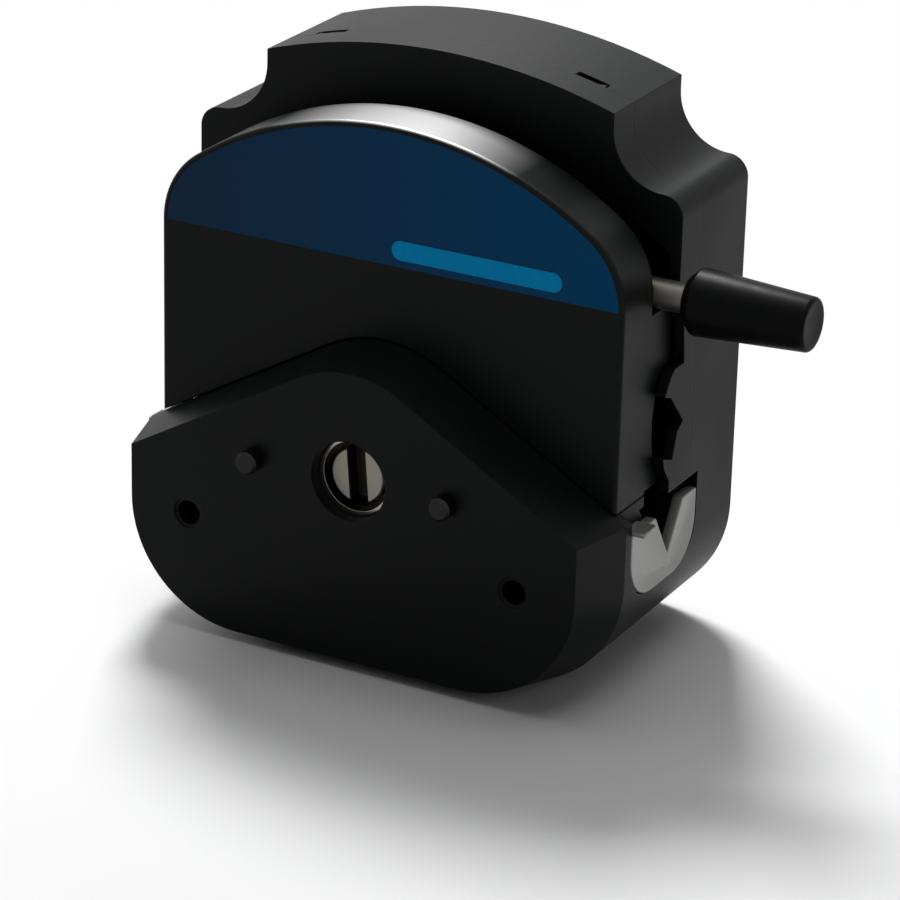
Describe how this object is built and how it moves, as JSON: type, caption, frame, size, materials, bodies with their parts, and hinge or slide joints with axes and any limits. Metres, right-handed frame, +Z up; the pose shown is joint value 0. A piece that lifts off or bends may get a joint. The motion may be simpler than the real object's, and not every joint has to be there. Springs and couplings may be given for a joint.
{
  "type": "peristaltic pump head",
  "caption": "Easy-load peristaltic pump head: roller rotor in a black housing, side lever that lifts the upper jaw, V tube retainers.",
  "frame": {"origin": "drive shaft's axis at the rear mounting face", "axes": "+Z up, +Y out of the rear face towards the drive, +X to the right seen from the front"},
  "size_m": [0.1309, 0.0683, 0.112],
  "materials": {
    "shell": "satin moulded black",
    "knob_black": "polished black",
    "label_navy": "printed film",
    "label_cyan": "printed film",
    "retainer_white": "translucent natural",
    "bearing_steel": "ground",
    "shaft_steel": "turned and faced",
    "rod_steel": "turned",
    "dark_steel": "blackened",
    "spring_steel": "bright",
    "bed_steel": "rolled",
    "bronze": "sintered",
    "rotor_alloy": "machined",
    "roller_steel": "polished"
  },
  "bodies": {
    "housing": {"front_housing": "shell", "hood_frame": "shell", "rear_housing": "shell", "shaft_bearings": "bearing_steel", "bore_sleeve": "bearing_steel", "dowel_pins": "dark_steel", "housing_screws": "dark_steel", "cam_pad": "bearing_steel", "guide_pins": "bearing_steel", "lift_springs": "spring_steel"},
    "jaw": {"jaw_block": "shell", "name_label": "label_navy", "label_bar": "label_cyan", "occlusion_bed": "bed_steel", "guide_bushes": "bronze", "cam_bushes": "bronze"},
    "lever": {"camshaft": "bearing_steel", "lift_cam": "dark_steel", "lever_rod": "rod_steel", "lever_knob": "knob_black"},
    "rotor": {"drive_shaft": "shaft_steel", "rotor_front_disc": "rotor_alloy", "rotor_rear_disc": "rotor_alloy", "roller_axles": "bearing_steel", "rotor_spacers": "rotor_alloy"},
    "roller_1": {"roller_1": "roller_steel"},
    "roller_2": {"roller_2": "roller_steel"},
    "roller_3": {"roller_3": "roller_steel"},
    "retainer_right": {"tube_retainer_right": "retainer_white"},
    "retainer_left": {"tube_retainer_left": "retainer_white"}
  },
  "joints": [
    {"name": "jaw_slide", "type": "slide", "parent": "housing", "child": "jaw", "axis": [0, 0, 1], "range_m": [0, 0.0095], "deforming": ["lift_springs"]},
    {"name": "lever_swing", "type": "hinge", "parent": "jaw", "child": "lever", "pos_m": [0, -0.0317, 0.0375], "axis": [0, -1, 0], "range_deg": [0, 180]},
    {"name": "rotor_spin", "type": "hinge", "parent": "housing", "child": "rotor", "pos_m": [0, -0.0285, 0], "axis": [0, 1, 0], "continuous": true},
    {"name": "roller_1_spin", "type": "hinge", "parent": "rotor", "child": "roller_1", "pos_m": [0, -0.0285, 0.017], "axis": [0, 1, 0], "continuous": true},
    {"name": "roller_2_spin", "type": "hinge", "parent": "rotor", "child": "roller_2", "pos_m": [-0.01472, -0.0285, -0.0085], "axis": [0, 1, 0], "continuous": true},
    {"name": "roller_3_spin", "type": "hinge", "parent": "rotor", "child": "roller_3", "pos_m": [0.01472, -0.0285, -0.0085], "axis": [0, 1, 0], "continuous": true},
    {"name": "retainer_right_slide", "type": "slide", "parent": "housing", "child": "retainer_right", "axis": [0, 0, 1], "range_m": [0, 0.003]},
    {"name": "retainer_left_slide", "type": "slide", "parent": "housing", "child": "retainer_left", "axis": [0, 0, 1], "range_m": [0, 0.003]}
  ],
  "couplings": [
    {"joint": "lever_swing", "follows": "jaw_slide", "rad_per_m": 330.69}
  ]
}
